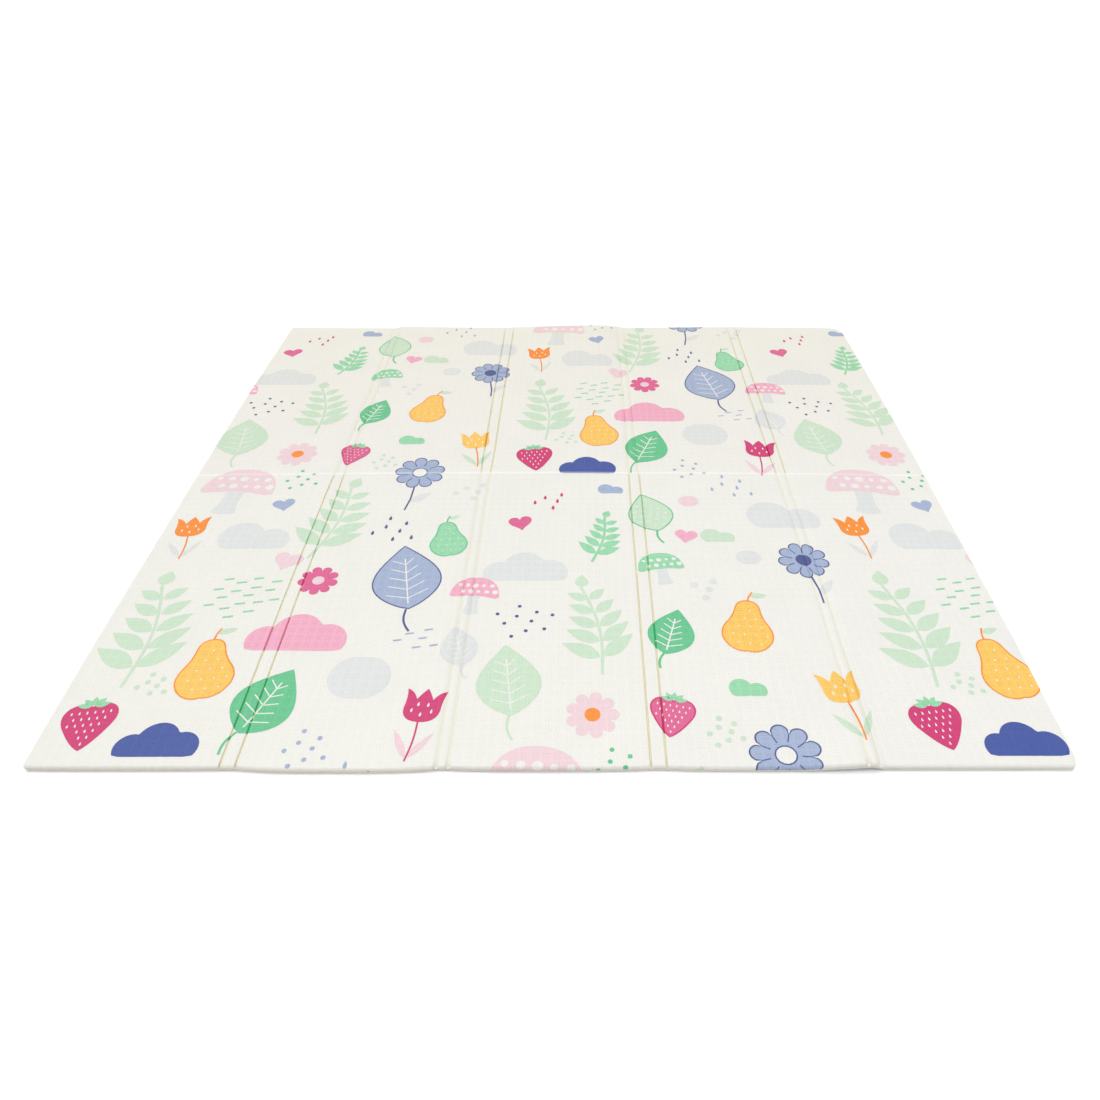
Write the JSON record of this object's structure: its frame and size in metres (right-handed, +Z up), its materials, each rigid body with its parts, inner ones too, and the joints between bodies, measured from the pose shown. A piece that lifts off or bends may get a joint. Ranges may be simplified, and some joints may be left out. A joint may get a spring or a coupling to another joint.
{
  "type": "folding foam play mat",
  "caption": "Flat folding play mat: padded foam panels under an embossed, printed film, joined by grooved hinge strips, lying open on the floor.",
  "frame": {"origin": "on the surface the mat lies on, below the middle of its outline", "axes": "+X to the right along the front edge, +Y from the front edge towards the back, +Z up out of the printed face"},
  "size_m": [2.008, 1.818, 0.023],
  "materials": {
    "film": "satin cream film over soft foam, finely embossed, printed in flat colours"
  },
  "bodies": {
    "root": {"mat": "film"}
  },
  "joints": []
}
